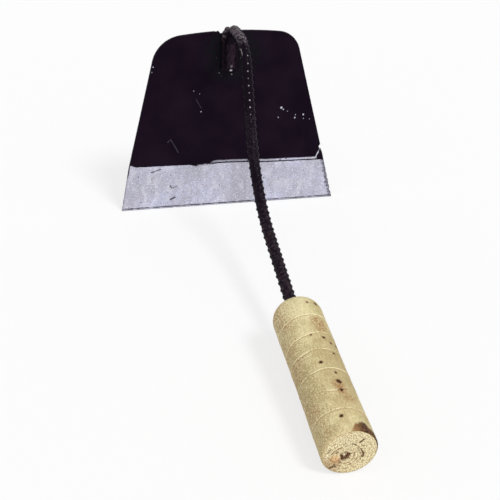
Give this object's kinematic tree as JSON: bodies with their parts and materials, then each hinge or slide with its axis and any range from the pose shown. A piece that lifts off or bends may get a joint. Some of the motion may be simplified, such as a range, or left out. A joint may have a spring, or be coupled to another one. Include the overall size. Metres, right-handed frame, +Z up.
{
  "type": "hand hoe",
  "caption": "Short-handled hand hoe: flared steel blade with a bare ground edge, welded to a crooked ribbed-bar shank set in a turned wooden grip.",
  "frame": {"origin": "on the ground, under the middle of the hoe's bounding box", "axes": "+Y from the butt of the grip to the blade, +Z up, +X to the right seen from the grip; the hoe stands on its cutting edge and on the rim of its butt"},
  "size_m": [0.185, 0.3747, 0.1653],
  "materials": {
    "blade_paint": "black brushed paint on steel plate, ground bare along the cutting edge",
    "bar_paint": "black paint over a ribbed steel bar",
    "weld_metal": "rippled weld under black paint",
    "grip_wood": "bare pale wood with tool rings, knots and a sawn end"
  },
  "bodies": {
    "root": {"blade": "blade_paint", "shank": "bar_paint", "weld_left": "weld_metal", "weld_right": "weld_metal", "weld_toe": "weld_metal", "weld_spatter": "weld_metal", "grip": "grip_wood"}
  },
  "joints": []
}
